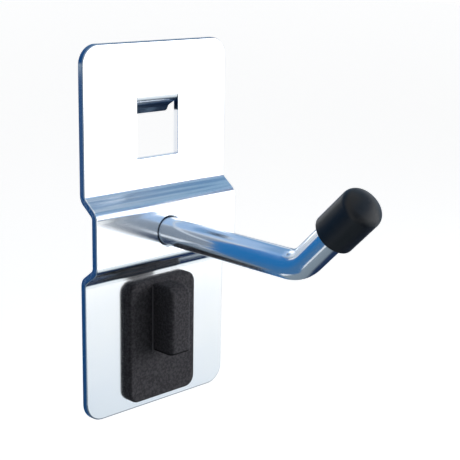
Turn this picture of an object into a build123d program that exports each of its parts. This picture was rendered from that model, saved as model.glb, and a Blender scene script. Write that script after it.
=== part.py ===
"""Tool hook for a perforated panel: folded back plate, bent hook rod, end cap and push-in lock clip.

Millimetres. +Z is up, the hook points to -Y, and y = 0 is the face of the panel that the plate lies on.
The origin is on that face, in the middle of the plate, level with the edge of the panel's hole that it hangs on.
"""
from build123d import *
import os
from math import cos, radians, sin, tan

# Panel that the hook hangs on
PANEL_PITCH = 38.0        # from hole to hole
PANEL_HOLE = 10.0         # square hole, side
PANEL_T = 1.0             # sheet of the panel

# Back plate
SHEET = 1.0               # sheet thickness
PLATE_W = 28.5
PLATE_H = 57.8
PLATE_CORNER_R = 3.0
ROD_DROP = 18.74          # rod's axis, and the plate's middle, below the edge it hangs on
BAND_H = 8.0              # raised band, fold to fold on its rear face
BAND_STEP = 2.8           # how far the band stands out
BAND_SLOPE = 53.5         # slope of the two steps, degrees off the vertical
FOLD_R = 0.8              # inside radius of those folds
EDGE_ROLL = 0.22          # soft front edge that blanking leaves
WINDOW_W = 8.3
WINDOW_DROP = 7.44        # window's lower edge below the edge it hangs on
WINDOW_ROLL = 0.12        # soft front edge of the window
LUG_FOLD_R = 0.5          # inside radius of the lug's first fold
LUG_SLOPE = 31.0          # its shelf falls towards the back, which draws the plate to the panel
LIP_FOLD_R = 0.6
LIP_SLOPE = 63.0
LIP_L = 0.87              # straight end of the lip
LIP_CORNER_R = 0.4
SHEAR_GAP = 0.1           # between lug and window, each side
LOCK_HOLE_R = 0.5         # corners of the lock's square hole
LOCK_HOLE_OVER = 0.4      # lock's hole in the plate, wider than the panel's hole

# Hook rod
ROD_D = 4.4
ROD_REACH = 31.0          # panel to where the two straight runs cross
ROD_TILT = 44.5           # upturned end, degrees above the level
ROD_BEND_R = 5.5          # on the rod's axis
ROD_FIT = 0.02            # play in the plate's hole, on the radius
ROD_HOLE_BEVEL = 0.3      # countersunk mouth of that hole
RIVET_D = 7.2
RIVET_H = 1.7
TIP_RUN = 16.1            # crossing point to the end of the cap

# End cap
CAP_D = 6.2
CAP_L = 8.1
CAP_CROWN_R = 4.5         # rounded end
CAP_NOSE_R = 1.3          # between that end and the side
CAP_END_WALL = 1.6
CAP_FIT = 0.02            # play on the rod, on the radius
CAP_RIM_BEVEL = 0.3

# Lock clip
LOCK_W = 13.6
LOCK_H = 19.6
LOCK_T = 1.35
LOCK_CORNER_R = 1.8
LOCK_EDGE_R = 0.45
LOCK_CLEAR = 0.9          # base below the foot of the lower step
SEAT_GAP = 0.02           # between the base and the plate
RIB_W = 4.4
RIB_H = 10.9
RIB_OUT = 4.3             # grip rib in front of the base
RIB_BELOW_TOP = 0.57      # rib's upper end below the base's upper edge
RIB_ROUND = 1.9           # quarter round of the rib's upper end
RIB_EDGE_R = 0.9          # upright edges
RIB_LEDGE_R = 0.3         # edge of its lower end
RIB_ROOT_BEVEL = 0.18
PLUG_FIT = 0.2            # plug in the panel's hole, each side
PLUG_WALL = 1.3
PLUG_R = 0.8
PLUG_TIP = 3.6            # plug behind the plate
PLUG_LEAD = 0.5           # chamfer on its nose
LEG_SLIT = 0.8
CATCH_OUT = 0.3           # catches on the two spring legs
CATCH_PLAY = 0.2          # between them and the panel
CATCH_RAMP = 1.2

# Levels and lines that the pieces share
front = -SHEET
rod_z = -ROD_DROP
plate_top = rod_z + PLATE_H / 2
plate_bottom = rod_z - PLATE_H / 2
step_run = BAND_STEP / tan(radians(BAND_SLOPE))
fold_run = (FOLD_R + SHEET) * tan(radians(BAND_SLOPE) / 2)
band_front = front - BAND_STEP
band_rear = band_front + SHEET
lock_z = PANEL_HOLE / 2 - PANEL_PITCH
lock_top = rod_z - BAND_H / 2 - step_run - fold_run - LOCK_CLEAR
lock_hole = PANEL_HOLE + LOCK_HOLE_OVER
plug = PANEL_HOLE - 2 * PLUG_FIT
tip_dir = Vector(0, -cos(radians(ROD_TILT)), sin(radians(ROD_TILT)))
crossing = Vector(0, -ROD_REACH, rod_z)
cap_end = crossing + tip_dir * TIP_RUN
rod_end = cap_end - tip_dir * CAP_END_WALL


# One sheet, drawn from the side as the line of its rear face and given its thickness
with BuildPart() as back_plate:
    with BuildSketch(Plane.YZ):
        with BuildLine():
            FilletPolyline(
                (0, plate_top),
                (0, rod_z + BAND_H / 2 + step_run),
                (band_rear, rod_z + BAND_H / 2),
                (band_rear, rod_z - BAND_H / 2),
                (0, rod_z - BAND_H / 2 - step_run),
                (0, plate_bottom),
                radius=[FOLD_R + SHEET, FOLD_R, FOLD_R, FOLD_R + SHEET],
            )
            offset(amount=SHEET, side=Side.RIGHT)
        make_face()
    extrude(amount=PLATE_W / 2, both=True)
    fillet(back_plate.edges().filter_by(Axis.Y), PLATE_CORNER_R)

    # the front edge all round, but not the fold lines that run from side to side
    skin = back_plate.faces().filter_by(lambda f: f.normal_at().Y < -0.1)
    rim = skin.edges().filter_by(lambda e: abs(e.length - PLATE_W) > 0.01)
    fillet(rim, EDGE_ROLL)

    # window up to the lug's fold, whose shelf then comes out at the edge of the panel's hole
    shelf_rise = (PANEL_T + SHEET) * tan(radians(LUG_SLOPE))
    lug_fold = shelf_rise + (SHEET + LUG_FOLD_R) * tan(radians(45 - LUG_SLOPE / 2))
    with BuildSketch(Plane.XZ):
        with Locations((0, (lug_fold - WINDOW_DROP) / 2)):
            Rectangle(WINDOW_W, lug_fold + WINDOW_DROP)
    extrude(amount=SHEET, mode=Mode.SUBTRACT)
    window = back_plate.faces(Select.LAST).edges().filter_by_position(Axis.Y, front, front)
    fillet(window.sort_by(Axis.Z)[:3], WINDOW_ROLL)

    # the tongue out of the window, drawn as its underside: back over the hole's edge and down behind it
    with BuildSketch(Plane.YZ):
        with BuildLine():
            fold = JernArc((front, lug_fold), (0, -1), SHEET + LUG_FOLD_R, 90 - LUG_SLOPE)
            shelf = Line(fold @ 1, (PANEL_T, 0))
            drop = JernArc(shelf @ 1, shelf % 1, LIP_FOLD_R, LUG_SLOPE - LIP_SLOPE)
            Line(drop @ 1, drop @ 1 + (drop % 1) * LIP_L)
            offset(amount=SHEET, side=Side.LEFT)
        make_face()
    extrude(amount=WINDOW_W / 2 - SHEAR_GAP, both=True)
    across_sheet = back_plate.edges().filter_by(lambda e: abs(e.length - SHEET) < 0.001)
    fillet(across_sheet.sort_by(Axis.Y)[-2:], LIP_CORNER_R)

    with BuildSketch(Plane.XZ):
        with Locations((0, lock_z)):
            RectangleRounded(lock_hole, lock_hole, LOCK_HOLE_R)
    extrude(amount=SHEET, mode=Mode.SUBTRACT)

    # rod hole, with the countersunk mouth that shows as a dark ring round the rod
    with BuildSketch(Plane.XZ.offset(-band_rear)):
        with Locations((0, rod_z)):
            Circle(ROD_D / 2 + ROD_FIT)
    extrude(amount=SHEET, mode=Mode.SUBTRACT)
    mouth = back_plate.edges().filter_by(GeomType.CIRCLE).filter_by_position(
        Axis.Y, band_front - 0.01, band_front + 0.01
    )
    chamfer(mouth, ROD_HOLE_BEVEL)
back_plate.part.label = "back_plate"


# Round bar through the band, bent up at the free end and headed over behind the band
with BuildPart() as hook_rod:
    with BuildLine():
        bar = FilletPolyline(
            (0, band_rear + RIVET_H / 2, rod_z), crossing, rod_end, radius=ROD_BEND_R
        )
    with BuildSketch(Plane(bar @ 0, z_dir=bar % 0)):
        Circle(ROD_D / 2)
    sweep()
    with BuildSketch(Plane.YZ):
        with BuildLine():
            head = TangentArc(
                (band_rear + RIVET_H, rod_z), (band_rear, rod_z + RIVET_D / 2), tangent=(0, 1)
            )
            Polyline(head @ 1, (band_rear, rod_z), head @ 0)
        make_face()
    revolve(axis=Axis((0, 0, rod_z), (0, 1, 0)))
hook_rod.part.label = "hook_rod"


# Moulded cap, turned about the rod's upturned end
with BuildPart() as end_cap:
    cap_plane = Plane(cap_end - tip_dir * CAP_L, x_dir=tip_dir, z_dir=(1, 0, 0))
    bore = ROD_D / 2 + CAP_FIT
    with BuildSketch(cap_plane) as cap_half:
        with BuildLine():
            crown_drop = CAP_CROWN_R - (CAP_CROWN_R**2 - CAP_D**2 / 4) ** 0.5
            crown = TangentArc((CAP_L, 0), (CAP_L - crown_drop, CAP_D / 2), tangent=(0, 1))
            Polyline(
                crown @ 1,
                (0, CAP_D / 2),
                (0, bore),
                (CAP_L - CAP_END_WALL, bore),
                (CAP_L - CAP_END_WALL, 0),
                crown @ 0,
            )
        make_face()
        chamfer(cap_half.vertices().group_by(Axis.Y)[-1].sort_by(Axis.X)[0], CAP_RIM_BEVEL)
        fillet(cap_half.vertices().group_by(Axis.Y)[-1].sort_by(Axis.X)[-1], CAP_NOSE_R)
    revolve(axis=Axis(cap_end, tip_dir))
end_cap.part.label = "end_cap"


# Moulded clip: base and grip rib in front of the plate, split plug through plate and panel
with BuildPart() as lock_clip:
    base_back = front - SEAT_GAP
    base_mid = lock_top - LOCK_H / 2
    with BuildSketch(Plane.XZ.offset(-base_back)):
        with Locations((0, base_mid)):
            RectangleRounded(LOCK_W, LOCK_H, LOCK_CORNER_R)
    extrude(amount=LOCK_T)
    fillet(lock_clip.faces().sort_by(Axis.Y)[0].edges(), LOCK_EDGE_R)

    # grip rib, drawn from the side: quarter round above, square ledge below
    base_front = base_back - LOCK_T
    rib_front = base_front - RIB_OUT
    rib_top = lock_top - RIB_BELOW_TOP
    rib_bottom = rib_top - RIB_H
    with BuildSketch(Plane.YZ):
        with BuildLine():
            roof = Line((base_back, rib_top), (rib_front + RIB_ROUND, rib_top))
            nose = TangentArc(roof @ 1, (rib_front, rib_top - RIB_ROUND), tangent=(-1, 0))
            Polyline(nose @ 1, (rib_front, rib_bottom), (base_back, rib_bottom), roof @ 0)
        make_face()
    extrude(amount=RIB_W / 2, both=True)
    rib_edges = lock_clip.edges().filter_by_position(Axis.Y, rib_front - 0.01, base_front - 0.01)
    upright = rib_edges.filter_by_position(Axis.Z, rib_bottom + 0.01, rib_top + 0.01)
    fillet(upright.filter_by(Axis.X, reverse=True), RIB_EDGE_R)
    ledge = (
        lock_clip.edges()
        .filter_by_position(Axis.Z, rib_bottom - 0.01, rib_bottom + 0.01)
        .filter_by_position(Axis.Y, rib_front - 0.01, base_front - 0.01)
    )
    fillet(ledge, RIB_LEDGE_R)
    root = (
        lock_clip.edges()
        .filter_by_position(Axis.Y, base_front - 0.01, base_front + 0.01)
        .filter_by_position(Axis.X, -RIB_W / 2 - 0.01, RIB_W / 2 + 0.01)
        .filter_by_position(Axis.Z, rib_bottom - 0.01, rib_top + 0.01)
    )
    chamfer(root, RIB_ROOT_BEVEL)

    # square plug, hollow from behind, with a chamfered nose
    core = plug - 2 * PLUG_WALL
    plug_length = PLUG_TIP - base_back
    with BuildSketch(Plane.XZ.offset(-base_back)):
        with Locations((0, lock_z)):
            RectangleRounded(plug, plug, PLUG_R)
            Rectangle(core, core, mode=Mode.SUBTRACT)
    extrude(amount=-plug_length)
    chamfer(lock_clip.faces().sort_by(Axis.Y)[-1].outer_wire().edges(), PLUG_LEAD)

    # four slits free its left and right walls as spring legs, each with a catch behind the panel
    with BuildSketch(Plane.XZ.offset(-base_back)):
        with Locations((0, lock_z)):
            with GridLocations(plug - PLUG_WALL, core - LEG_SLIT, 2, 2):
                Rectangle(2 * PLUG_WALL, LEG_SLIT)
    extrude(amount=-plug_length, mode=Mode.SUBTRACT)
    catch_y = PANEL_T + CATCH_PLAY
    with BuildSketch(Plane.XY.offset(lock_z)):
        with BuildLine():
            Polyline(
                ((plug - PLUG_WALL) / 2, catch_y),
                (plug / 2 + CATCH_OUT, catch_y),
                ((plug - PLUG_WALL) / 2, catch_y + CATCH_RAMP),
                close=True,
            )
        make_face()
        mirror(about=Plane.YZ)
    extrude(amount=core / 2 - LEG_SLIT, both=True)
lock_clip.part.label = "lock_clip"


os.makedirs("parts", exist_ok=True)
for piece in (back_plate, hook_rod, end_cap, lock_clip):
    export_step(piece.part, f"parts/{piece.part.label}.step")
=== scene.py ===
"""Tool hook for a perforated panel, dressed over its solid model.

Metres, in the model's own frame: +Z up, the hook pointing to -Y, y = 0 on the face of the panel.
Sizes inside a material are in millimetres, in the same frame.
"""
from math import cos, radians, sin

import bpy
from mathutils import Matrix, Vector


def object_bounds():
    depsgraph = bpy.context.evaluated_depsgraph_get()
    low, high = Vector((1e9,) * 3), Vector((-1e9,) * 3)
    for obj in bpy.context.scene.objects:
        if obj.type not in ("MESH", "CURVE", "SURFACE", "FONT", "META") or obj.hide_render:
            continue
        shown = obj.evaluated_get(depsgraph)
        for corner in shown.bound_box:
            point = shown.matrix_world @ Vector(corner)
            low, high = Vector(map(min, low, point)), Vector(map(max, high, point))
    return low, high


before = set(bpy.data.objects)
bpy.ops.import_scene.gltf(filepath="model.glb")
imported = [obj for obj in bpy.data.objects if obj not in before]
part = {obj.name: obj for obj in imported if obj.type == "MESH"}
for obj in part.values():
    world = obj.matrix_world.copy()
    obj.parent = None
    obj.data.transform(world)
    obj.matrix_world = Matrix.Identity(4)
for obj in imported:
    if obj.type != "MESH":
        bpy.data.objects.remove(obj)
solid_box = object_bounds()


# Back plate: one blank of 1 mm steel sheet, folded into a raised band, with the hanging lug lanced out of it.
# It is bright zinc plated after forming, with a slightly clouded blue passivation over the rolled grain.
# Its sheared edge is painted the dark navy it mirrors, and painted shade darkens the underside of the lug and
# the window's walls beside it.
class Field:
    """A value over a surface: one socket of a material's nodes. Sums on it add Math nodes."""

    def __init__(self, tree, socket=None):
        self.tree = tree
        self.socket = socket

    def node(self, kind, settings=(), inputs=(), output=0):
        made = self.tree.nodes.new("ShaderNode" + kind)
        for name, value in dict(settings).items():
            if name == "stops":
                while len(made.color_ramp.elements) < len(value):
                    made.color_ramp.elements.new(1.0)
                for stop, (position, colour) in zip(made.color_ramp.elements, value):
                    stop.position = position
                    stop.color = (*colour, 1.0)
            else:
                setattr(made, name, value)
        for name, value in dict(inputs).items():
            if isinstance(value, Field):
                self.tree.links.new(value.socket, made.inputs[name])
            else:
                made.inputs[name].default_value = value
        return Field(self.tree, made.outputs[output] if made.outputs else None)

    def sum(self, operation, first, second):
        return self.node("Math", {"operation": operation}, {0: first, 1: second})

    def __add__(self, other):
        return self.sum("ADD", self, other)

    def __radd__(self, other):
        return self.sum("ADD", other, self)

    def __sub__(self, other):
        return self.sum("SUBTRACT", self, other)

    def __rsub__(self, other):
        return self.sum("SUBTRACT", other, self)

    def __mul__(self, other):
        return self.sum("MULTIPLY", self, other)

    def __rmul__(self, other):
        return self.sum("MULTIPLY", other, self)

    def __abs__(self):
        return self.node("Math", {"operation": "ABSOLUTE"}, {0: self})

    def at_least(self, least):
        return self.sum("MAXIMUM", self, least)

    def between(self, low, high):
        """0 below low and 1 above high, smooth between them."""
        settings = {"interpolation_type": "SMOOTHSTEP"}
        return self.node("MapRange", settings, {"Value": self, "From Min": low, "From Max": high})

    def strip(self, *edges):
        """1 in a strip, which comes in between the first two edges and goes out between the last two."""
        return self.between(*edges[:2]) * (1 - self.between(*edges[2:]))

    def mix(self, first, second):
        """The first colour where this is 0, the second where it is 1."""
        first, second = (c if isinstance(c, Field) else (*c, 1.0) for c in (first, second))
        return self.node("Mix", {"data_type": "RGBA"}, {"Factor": self, 6: first, 7: second}, 2)


def finish(name):
    """A new material with no nodes yet, and the field that its nodes start from."""
    material = bpy.data.materials.new(name)
    material.use_nodes = True
    material.node_tree.nodes.clear()
    return material, Field(material.node_tree)


def place(start, stretch=(1, 1, 1)):
    """Where a point of the piece is, in millimetres, stretched for grain that has a direction."""
    coords = start.node("TexCoord", output="Object")
    scale = [1000 * s for s in stretch]
    return start.node("Mapping", {}, {"Vector": coords, "Scale": scale})


def axis_of(start, where, axis):
    return start.node("SeparateXYZ", {}, {0: where}, axis)


def noise(start, where, scale, detail=2.0, roughness=0.5):
    inputs = {"Vector": where, "Scale": scale, "Detail": detail, "Roughness": roughness}
    return start.node("TexNoise", {}, inputs)


def grain(start, where):
    """Lines left by rolling or drawing, along the axis that the place is drawn out in."""
    return noise(start, where, 1.0, detail=3.0, roughness=0.6)


def clouded(start, where, pale, blue):
    """The passivation's colour, drifting from one tint to the other over several millimetres."""
    return noise(start, where, 0.09, detail=3.0).between(0.3, 0.7).mix(pale, blue)


def plating(start, where, lines, colour, dullness, depth, ridges=0.0):
    """Bright zinc: grain lines in its shine, and the grain, fine pits and any ridges in its relief."""
    pits = noise(start, where, 1.7)
    height = 0.7 * lines + 0.3 * pits + ridges
    relief = start.node("Bump", {}, {"Strength": depth, "Distance": 0.00002, "Height": height})
    dullness = dullness + 0.05 * (lines - 0.5)
    skin = start.node(
        "BsdfPrincipled",
        {},
        {"Base Color": colour, "Metallic": 1.0, "Roughness": dullness, "Normal": relief},
    )
    start.node("OutputMaterial", {}, {"Surface": skin})


def dress(node, material):
    part[node].data.materials.clear()
    part[node].data.materials.append(material)


HALF_PLATE = 14.25
HALF_HEIGHT = 28.9
CORNER_R = 3.0
EDGE_INSIDE = CORNER_R - 0.16
EDGE_OUTSIDE = CORNER_R - 0.05
ROD_LEVEL = -18.74
ROD_RADIUS = 2.2
RING_INSIDE = ROD_RADIUS + 0.08
RING_OUTSIDE = ROD_RADIUS + 0.20
FOLDS = (3.0, 4.2, 6.6, 7.4)
CREASE_HEIGHT = 150
LUG_SLOPE = radians(31)
SHELF_OFFSET = 0.515
HALF_WINDOW = 4.15
WALL_FACE = (-0.09, -0.03, 0.05, 0.15)
SHEET_CORE = (-0.95, -0.85, -0.15, -0.05)
ROLLED = (1.6, 1.6, 0.03)
ACROSS = (0.02, 1.0, 1.0)
PALE_ZINC = (0.87, 0.89, 0.915)
BLUE_ZINC = (0.84, 0.87, 0.91)
# painted reflection in the crease streaks and on the sheared edge, and painted shade under the lug, on the
# window's walls and in the ring round the rod
CREASE_REFLECTION_BLUE = (0.52, 0.62, 0.74)
EDGE_REFLECTION_NAVY = (0.20, 0.27, 0.36)
UNDER_LUG_SHADE = (0.17, 0.23, 0.31)
WINDOW_WALL_SHADE = (0.04, 0.07, 0.11)
RING_SHADE_DARK = (0.05, 0.06, 0.08)
material, start = finish("plated_sheet")
where = place(start)
lines = grain(start, place(start, ROLLED))
run = axis_of(start, where, "X")
depth = axis_of(start, where, "Y")
level = axis_of(start, where, "Z")
rise = level - ROD_LEVEL
# each fold has fine crease lines along it, where the sheet was stretched: they are relief, and their blue
# streaks are a painted reflection
creases = noise(start, place(start, ACROSS), 1.5) * abs(rise).strip(*FOLDS)
# painted reflection: the sheared outer edge is painted the dark navy that it mirrors
aside = (abs(run) - (HALF_PLATE - CORNER_R)).at_least(0)
aloft = (abs(rise) - (HALF_HEIGHT - CORNER_R)).at_least(0)
sheared = (aside * aside + aloft * aloft).between(EDGE_INSIDE ** 2, EDGE_OUTSIDE ** 2)
# painted shade: the narrow ring round the rod is painted dark, as the shadow in the gap there
ring = 1 - (rise * rise + run * run).between(RING_INSIDE ** 2, RING_OUTSIDE ** 2)
# painted shade under the lug's shelf, and on the walls of the window beside it
above_shelf = sin(LUG_SLOPE) * depth + cos(LUG_SLOPE) * level - SHELF_OFFSET
under = depth.between(0.0, 0.1) * (1 - above_shelf.between(0.1, 0.3))
beside = (abs(run) - HALF_WINDOW).strip(*WALL_FACE)
walls = beside * level.between(-0.75, -0.5) * depth.strip(*SHEET_CORE)
colour = clouded(start, where, PALE_ZINC, BLUE_ZINC)
# painted shade under the lug's shelf and on the window's walls
colour = under.mix(colour, UNDER_LUG_SHADE)
colour = walls.mix(colour, WINDOW_WALL_SHADE)
# painted reflection: blue streaks along the creases
colour = creases.between(0.45, 0.64).mix(colour, CREASE_REFLECTION_BLUE)
# painted reflection: the sheared edge's dark navy
colour = sheared.mix(colour, EDGE_REFLECTION_NAVY)
# painted shade in the ring round the rod
colour = ring.mix(colour, RING_SHADE_DARK)
plating(start, where, lines, colour, dullness=0.18, depth=0.05, ridges=CREASE_HEIGHT * creases)
dress("back_plate", material)


# Hook rod: 4.4 mm drawn steel bar, bent up at its end and riveted over behind the band.
# It is plated like the plate, and the drawing lines run along it, round the bend and up the end.
ROD_TILT = 44.5
CROSSING = -31.0
BEND_LEAN = 0.41
BEND_SOFT = 1.2
BAND_REAR = -2.8
DRAWN = (2.2, 0.04, 2.2)
PALE_BAR = (0.80, 0.84, 0.88)
BLUE_BAR = (0.76, 0.81, 0.87)
material, start = finish("plated_rod")
where = place(start)
depth = axis_of(start, where, "Y")
rise = axis_of(start, where, "Z") - ROD_LEVEL
turned = start.node("Mapping", {}, {"Vector": where, "Rotation": (radians(ROD_TILT), 0, 0)})
turned = start.node("Mapping", {}, {"Vector": turned, "Scale": DRAWN})
bent = 1 - (depth + BEND_LEAN * rise).between(CROSSING - BEND_SOFT, CROSSING + BEND_SOFT)
lines = grain(start, place(start, DRAWN)) * (1 - bent) + grain(start, turned) * bent
# the hammered head is dull
headed = depth.between(BAND_REAR - 0.05, BAND_REAR + 0.05)
colour = clouded(start, where, PALE_BAR, BLUE_BAR)
plating(start, where, lines, colour, dullness=0.15 + 0.30 * headed, depth=0.12)
dress("hook_rod", material)


# End cap: soft black vinyl, pushed over the end of the rod.
# It is smooth with a dull shine, and its skin waves a little.
def moulding(start, colour, dullness, shine, height, strength, deepest):
    """A black moulded skin, with a relief that is at most deepest metres."""
    relief = start.node("Bump", {}, {"Strength": strength, "Distance": deepest, "Height": height})
    skin = start.node(
        "BsdfPrincipled",
        {},
        {"Base Color": colour, "Roughness": dullness, "Specular IOR Level": shine, "Normal": relief},
    )
    start.node("OutputMaterial", {}, {"Surface": skin})


DEEP_VINYL = (0.006, 0.009, 0.013)
HIGH_VINYL = (0.010, 0.012, 0.016)
material, start = finish("cap_vinyl")
where = place(start)
wave = noise(start, where, 0.5)
mark = noise(start, where, 4.0, detail=3.0)
colour = wave.between(0.3, 0.7).mix(DEEP_VINYL, HIGH_VINYL)
dullness = 0.40 + 0.12 * (mark - 0.5)
moulding(start, colour, dullness, shine=0.3, height=wave + 0.2 * mark, strength=0.25, deepest=0.00003)
dress("end_cap", material)


# Lock clip: black moulded plastic, pushed through the plate into the panel's hole below the lug.
# The mould was spark-eroded, which leaves a fine dull grain on every face.
# Painted shade makes the rib's rounded lower edge nearly black, and a painted highlight makes the bevel at
# its root paler.
BASE_FRONT = -2.37
RIB_FOOT = -38.09
HALF_RIB = 2.2
BEVEL = (0.0, 0.04, 0.15, 0.20)
DEEP_PLASTIC = (0.031, 0.030, 0.034)
HIGH_PLASTIC = (0.061, 0.059, 0.065)
# painted shade for the rib's lower edge
LEDGE_SHADE_BLACK = (0.006, 0.006, 0.007)
# painted highlight for the bevel at the rib's root
ROOT_HIGHLIGHT_GREY = (0.125, 0.121, 0.132)
material, start = finish("lock_plastic")
where = place(start)
spark = noise(start, where, 2.7, detail=3.0, roughness=0.65)
worn = noise(start, where, 0.35, detail=3.0)
ahead = BASE_FRONT - axis_of(start, where, "Y")
above_foot = axis_of(start, where, "Z") - RIB_FOOT
flank = abs(axis_of(start, where, "X")).between(HALF_RIB - 0.05, HALF_RIB)
ledge_shade = ahead.between(0.3, 0.5) * (1 - above_foot.between(0.25, 0.45))
root = flank * ahead.strip(*BEVEL)
colour = spark.between(0.38, 0.66).mix(DEEP_PLASTIC, HIGH_PLASTIC)
# painted shade along the rib's lower edge
colour = ledge_shade.mix(colour, LEDGE_SHADE_BLACK)
# painted highlight on the bevel at the rib's root
colour = root.mix(colour, ROOT_HIGHLIGHT_GREY)
dullness = 0.70 + 0.16 * (worn - 0.5)
moulding(start, colour, dullness, shine=0.08, height=spark, strength=0.9, deepest=0.00012)
dress("lock_clip", material)


# Studio: a pale floor well below the hook, a white surround, a softbox, and a lamp for the black pieces.
# Blue, grey and dark cards stand outside the picture, because plated metal shows only what it faces.
HOOK_MIDDLE = Vector((0, -0.01, -0.01874))
FLOOR_DROP = 0.10
REAR = 0.07
floor_z = solid_box[0][2] - FLOOR_DROP


def card(name, corners, stops):
    """A flat card that the metal mirrors: stops colour it from its first edge to its last."""
    mesh = bpy.data.meshes.new(name)
    mesh.from_pydata(corners, [], [(0, 1, 2, 3)])
    mesh.uv_layers.new(name="up")
    for loop, up in zip(mesh.uv_layers["up"].data, ((0, 0), (1, 0), (1, 1), (0, 1))):
        loop.uv = up
    board = bpy.data.objects.new(name, mesh)
    bpy.context.scene.collection.objects.link(board)
    material, start = finish(name)
    across = axis_of(start, start.node("TexCoord", output="UV"), "Y")
    paint = start.node("ValToRGB", {"stops": stops}, {0: across})
    glow = start.node("Emission", {}, {"Color": paint})
    start.node("OutputMaterial", {}, {"Surface": glow})
    mesh.materials.append(material)
    board.visible_camera = False
    board.visible_shadow = False
    board.visible_diffuse = False


def fade(first, last):
    """Stops that run evenly from one colour to another."""
    return [(0.0, first), (1.0, last)]


def facing(direction, distance, width, height):
    """Corners of a card square on to the hook, from its lower edge to its upper one."""
    towards = Vector(direction).normalized()
    side = towards.cross(Vector((0, 0, 1))).normalized() * width / 2
    rise = side.cross(towards).normalized() * height / 2
    middle = HOOK_MIDDLE + towards * distance
    return [middle - side - rise, middle + side - rise, middle + side + rise, middle - side + rise]


def upright(y, left, right, foot, head):
    """Corners of a card that stands parallel to the panel, from its lower edge to its upper one."""
    return [Vector((x, y, z)) for x, z in ((left, foot), (right, foot), (right, head), (left, head))]


def lying(z, left, right, front, back):
    """Corners of a card that lies level, from its front edge to its back one."""
    return [Vector((x, y, z)) for x, y in ((left, front), (right, front), (right, back), (left, back))]


# behind the hook on the left, for the rod: the gap above the first leaves the window's far wall white
card(
    "left_card",
    upright(0.03, -0.20, -0.034, -0.038, 0.002),
    fade((0.02, 0.17, 0.44), (0.02, 0.18, 0.46)),
)
card(
    "upper_left_card",
    upright(REAR, -0.40, -0.018, 0.012, 0.09),
    [(0.0, (0.02, 0.18, 0.46)), (0.7, (0.06, 0.22, 0.52)), (1.0, (0.30, 0.54, 0.90))],
)
card(
    "lower_left_card",
    upright(REAR, -0.40, -0.018, -0.085, -0.05),
    fade((0.04, 0.17, 0.38), (0.02, 0.17, 0.44)),
)
card(
    "foot_card",
    upright(REAR, -0.40, 0.09, -0.145, -0.085),
    fade((0.06, 0.17, 0.34), (0.04, 0.17, 0.38)),
)

# high behind, far to the right, and overhead to the right and in front
card(
    "back_card",
    upright(0.25, -0.25, 0.40, 0.08, 0.60),
    fade((0.20, 0.38, 0.64), (0.24, 0.41, 0.64)),
)
card(
    "right_back_card",
    facing((0.906, 0.42, 0.0), 0.35, 0.70, 0.36),
    [(0.0, (0.16, 0.28, 0.42)), (0.60, (0.20, 0.31, 0.46)), (0.68, (0.80, 0.87, 0.94))],
)
card(
    "high_card",
    facing((0.70, -0.08, 0.73), 0.40, 0.60, 0.214),
    [
        (0.27, (0.10, 0.15, 0.28)),
        (0.33, (0.58, 0.72, 0.92)),
        (0.41, (0.58, 0.72, 0.92)),
        (0.50, (0.12, 0.32, 0.52)),
        (0.66, (0.33, 0.46, 0.61)),
        (1.0, (0.44, 0.55, 0.69)),
    ],
)
card(
    "front_high_card",
    facing((0.14, -0.72, 0.68), 0.40, 0.42, 0.24),
    fade((0.46, 0.65, 0.92), (0.46, 0.65, 0.92)),
)

# the unlit side that the hook is looked at from
card(
    "near_card",
    facing((-0.66, -0.75, 0.20), 0.40, 0.34, 0.40),
    fade((0.26, 0.30, 0.35), (0.34, 0.39, 0.45)),
)

# low behind the plate on the right, where the underside of the lug looks
card(
    "under_card",
    lying(-0.045, 0.042, 0.15, 0.022, 0.11),
    fade((0.012, 0.035, 0.085), (0.012, 0.035, 0.085)),
)

# just over the floor to the left, where the bend looks down
card(
    "left_floor_card",
    lying(floor_z + 0.003, -0.30, -0.045, -0.006, REAR),
    fade((0.05, 0.17, 0.36), (0.06, 0.17, 0.34)),
)

# just over the floor, from under the hook out to the right, where the plate looks down
ALONG = Vector((0.70, -0.714, 0)) * 0.52
ASIDE = Vector((0.714, 0.70, 0)) * 0.25
low_start = Vector((0, -0.01, floor_z + 0.002)) - ALONG * 0.115
card(
    "low_card",
    [low_start - ASIDE, low_start + ASIDE, low_start + ASIDE + ALONG, low_start - ASIDE + ALONG],
    [
        (0.0, (0.26, 0.32, 0.37)),
        (0.18, (0.22, 0.27, 0.31)),
        (0.22, (0.012, 0.03, 0.08)),
        (0.385, (0.012, 0.03, 0.08)),
        (0.395, (0.44, 0.51, 0.53)),
        (0.42, (0.52, 0.59, 0.62)),
        (0.46, (0.70, 0.79, 0.81)),
        (0.55, (0.79, 0.86, 0.94)),
        (0.70, (0.96, 1.0, 1.0)),
        (1.0, (1.0, 1.0, 1.0)),
    ],
)

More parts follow.
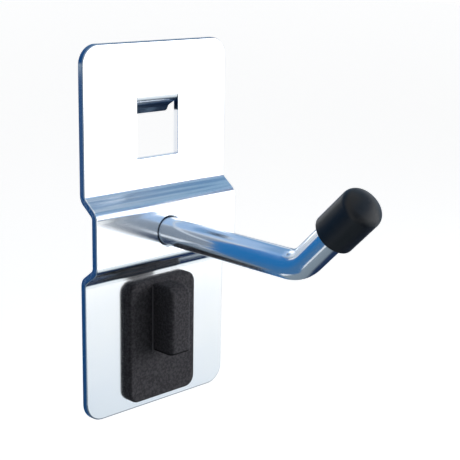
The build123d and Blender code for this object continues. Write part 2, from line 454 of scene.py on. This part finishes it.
# the metal shows the softbox, and the lamp beside it lights only what isn't a mirror
LIGHT_DISTANCE = 0.45
for name, direction, width, height, power, shows in (
    ("softbox", (0.61, -0.78, 0.13), 0.47, 0.373, 0.62, True),
    ("lamp", (0.80, -0.58, 0.15), 0.20, 0.20, 1.65, False),
):
    light = bpy.data.lights.new(name, "AREA")
    light.shape = "RECTANGLE"
    light.size = width
    light.size_y = height
    light.energy = power
    lamp = bpy.data.objects.new(name, light)
    bpy.context.scene.collection.objects.link(lamp)
    lamp.location = HOOK_MIDDLE + Vector(direction) * LIGHT_DISTANCE
    lamp.rotation_euler = (lamp.location - HOOK_MIDDLE).to_track_quat("Z", "Y").to_euler()
    lamp.visible_camera = False
    lamp.visible_glossy = shows

FLOOR_HALF = 3
floor_mesh = bpy.data.meshes.new("floor")
floor_mesh.from_pydata(
    lying(floor_z, -FLOOR_HALF, FLOOR_HALF, -FLOOR_HALF, FLOOR_HALF), [], [(0, 1, 2, 3)]
)
floor = bpy.data.objects.new("floor", floor_mesh)
bpy.context.scene.collection.objects.link(floor)
material, start = finish("floor")
scattered = start.node("LightPath", output="Is Diffuse Ray")
paint = start.node(
    "BsdfPrincipled",
    {},
    {
        "Base Color": (0.62, 0.66, 0.70, 1.0),
        "Roughness": 0.9,
        "Emission Color": scattered.mix((0.86, 0.86, 0.86), (0.05, 0.05, 0.05)),
        "Emission Strength": 1.0,
    },
)
start.node("OutputMaterial", {}, {"Surface": paint})
floor_mesh.materials.append(material)

# the surround is white to the eye and in the metal, and adds little light to the black pieces
world = bpy.data.worlds.new("studio")
bpy.context.scene.world = world
world.use_nodes = True
world.node_tree.nodes.clear()
start = Field(world.node_tree)
scattered = start.node("LightPath", output="Is Diffuse Ray")
surround = start.node("Background", {}, {"Color": (1, 1, 1, 1), "Strength": 1.0 - 0.93 * scattered})
start.node("OutputWorld", {}, {"Surface": surround})


# Camera: from the left and a little above, as in the photograph.
# Its lens and place were fitted to the plate's corners, its folds and the rod there.
photo_camera = bpy.data.cameras.new("photo_camera")
photo_camera.sensor_width = 36.0
photo_camera.lens = 90.19
photo_camera.clip_start = 0.005
viewer = bpy.data.objects.new("photo_camera", photo_camera)
bpy.context.scene.collection.objects.link(viewer)
turn_left = Matrix.Rotation(-radians(44.685), 4, "Z")
look_down = Matrix.Rotation(radians(90 - 13.961), 4, "X")
roll = Matrix.Rotation(radians(0.947), 4, "Z")
stand = Matrix.Translation((-0.114773, -0.133083, 0.024456))
viewer.matrix_world = stand @ turn_left @ look_down @ roll
bpy.context.scene.camera = viewer

bpy.context.scene.view_settings.view_transform = "Standard"
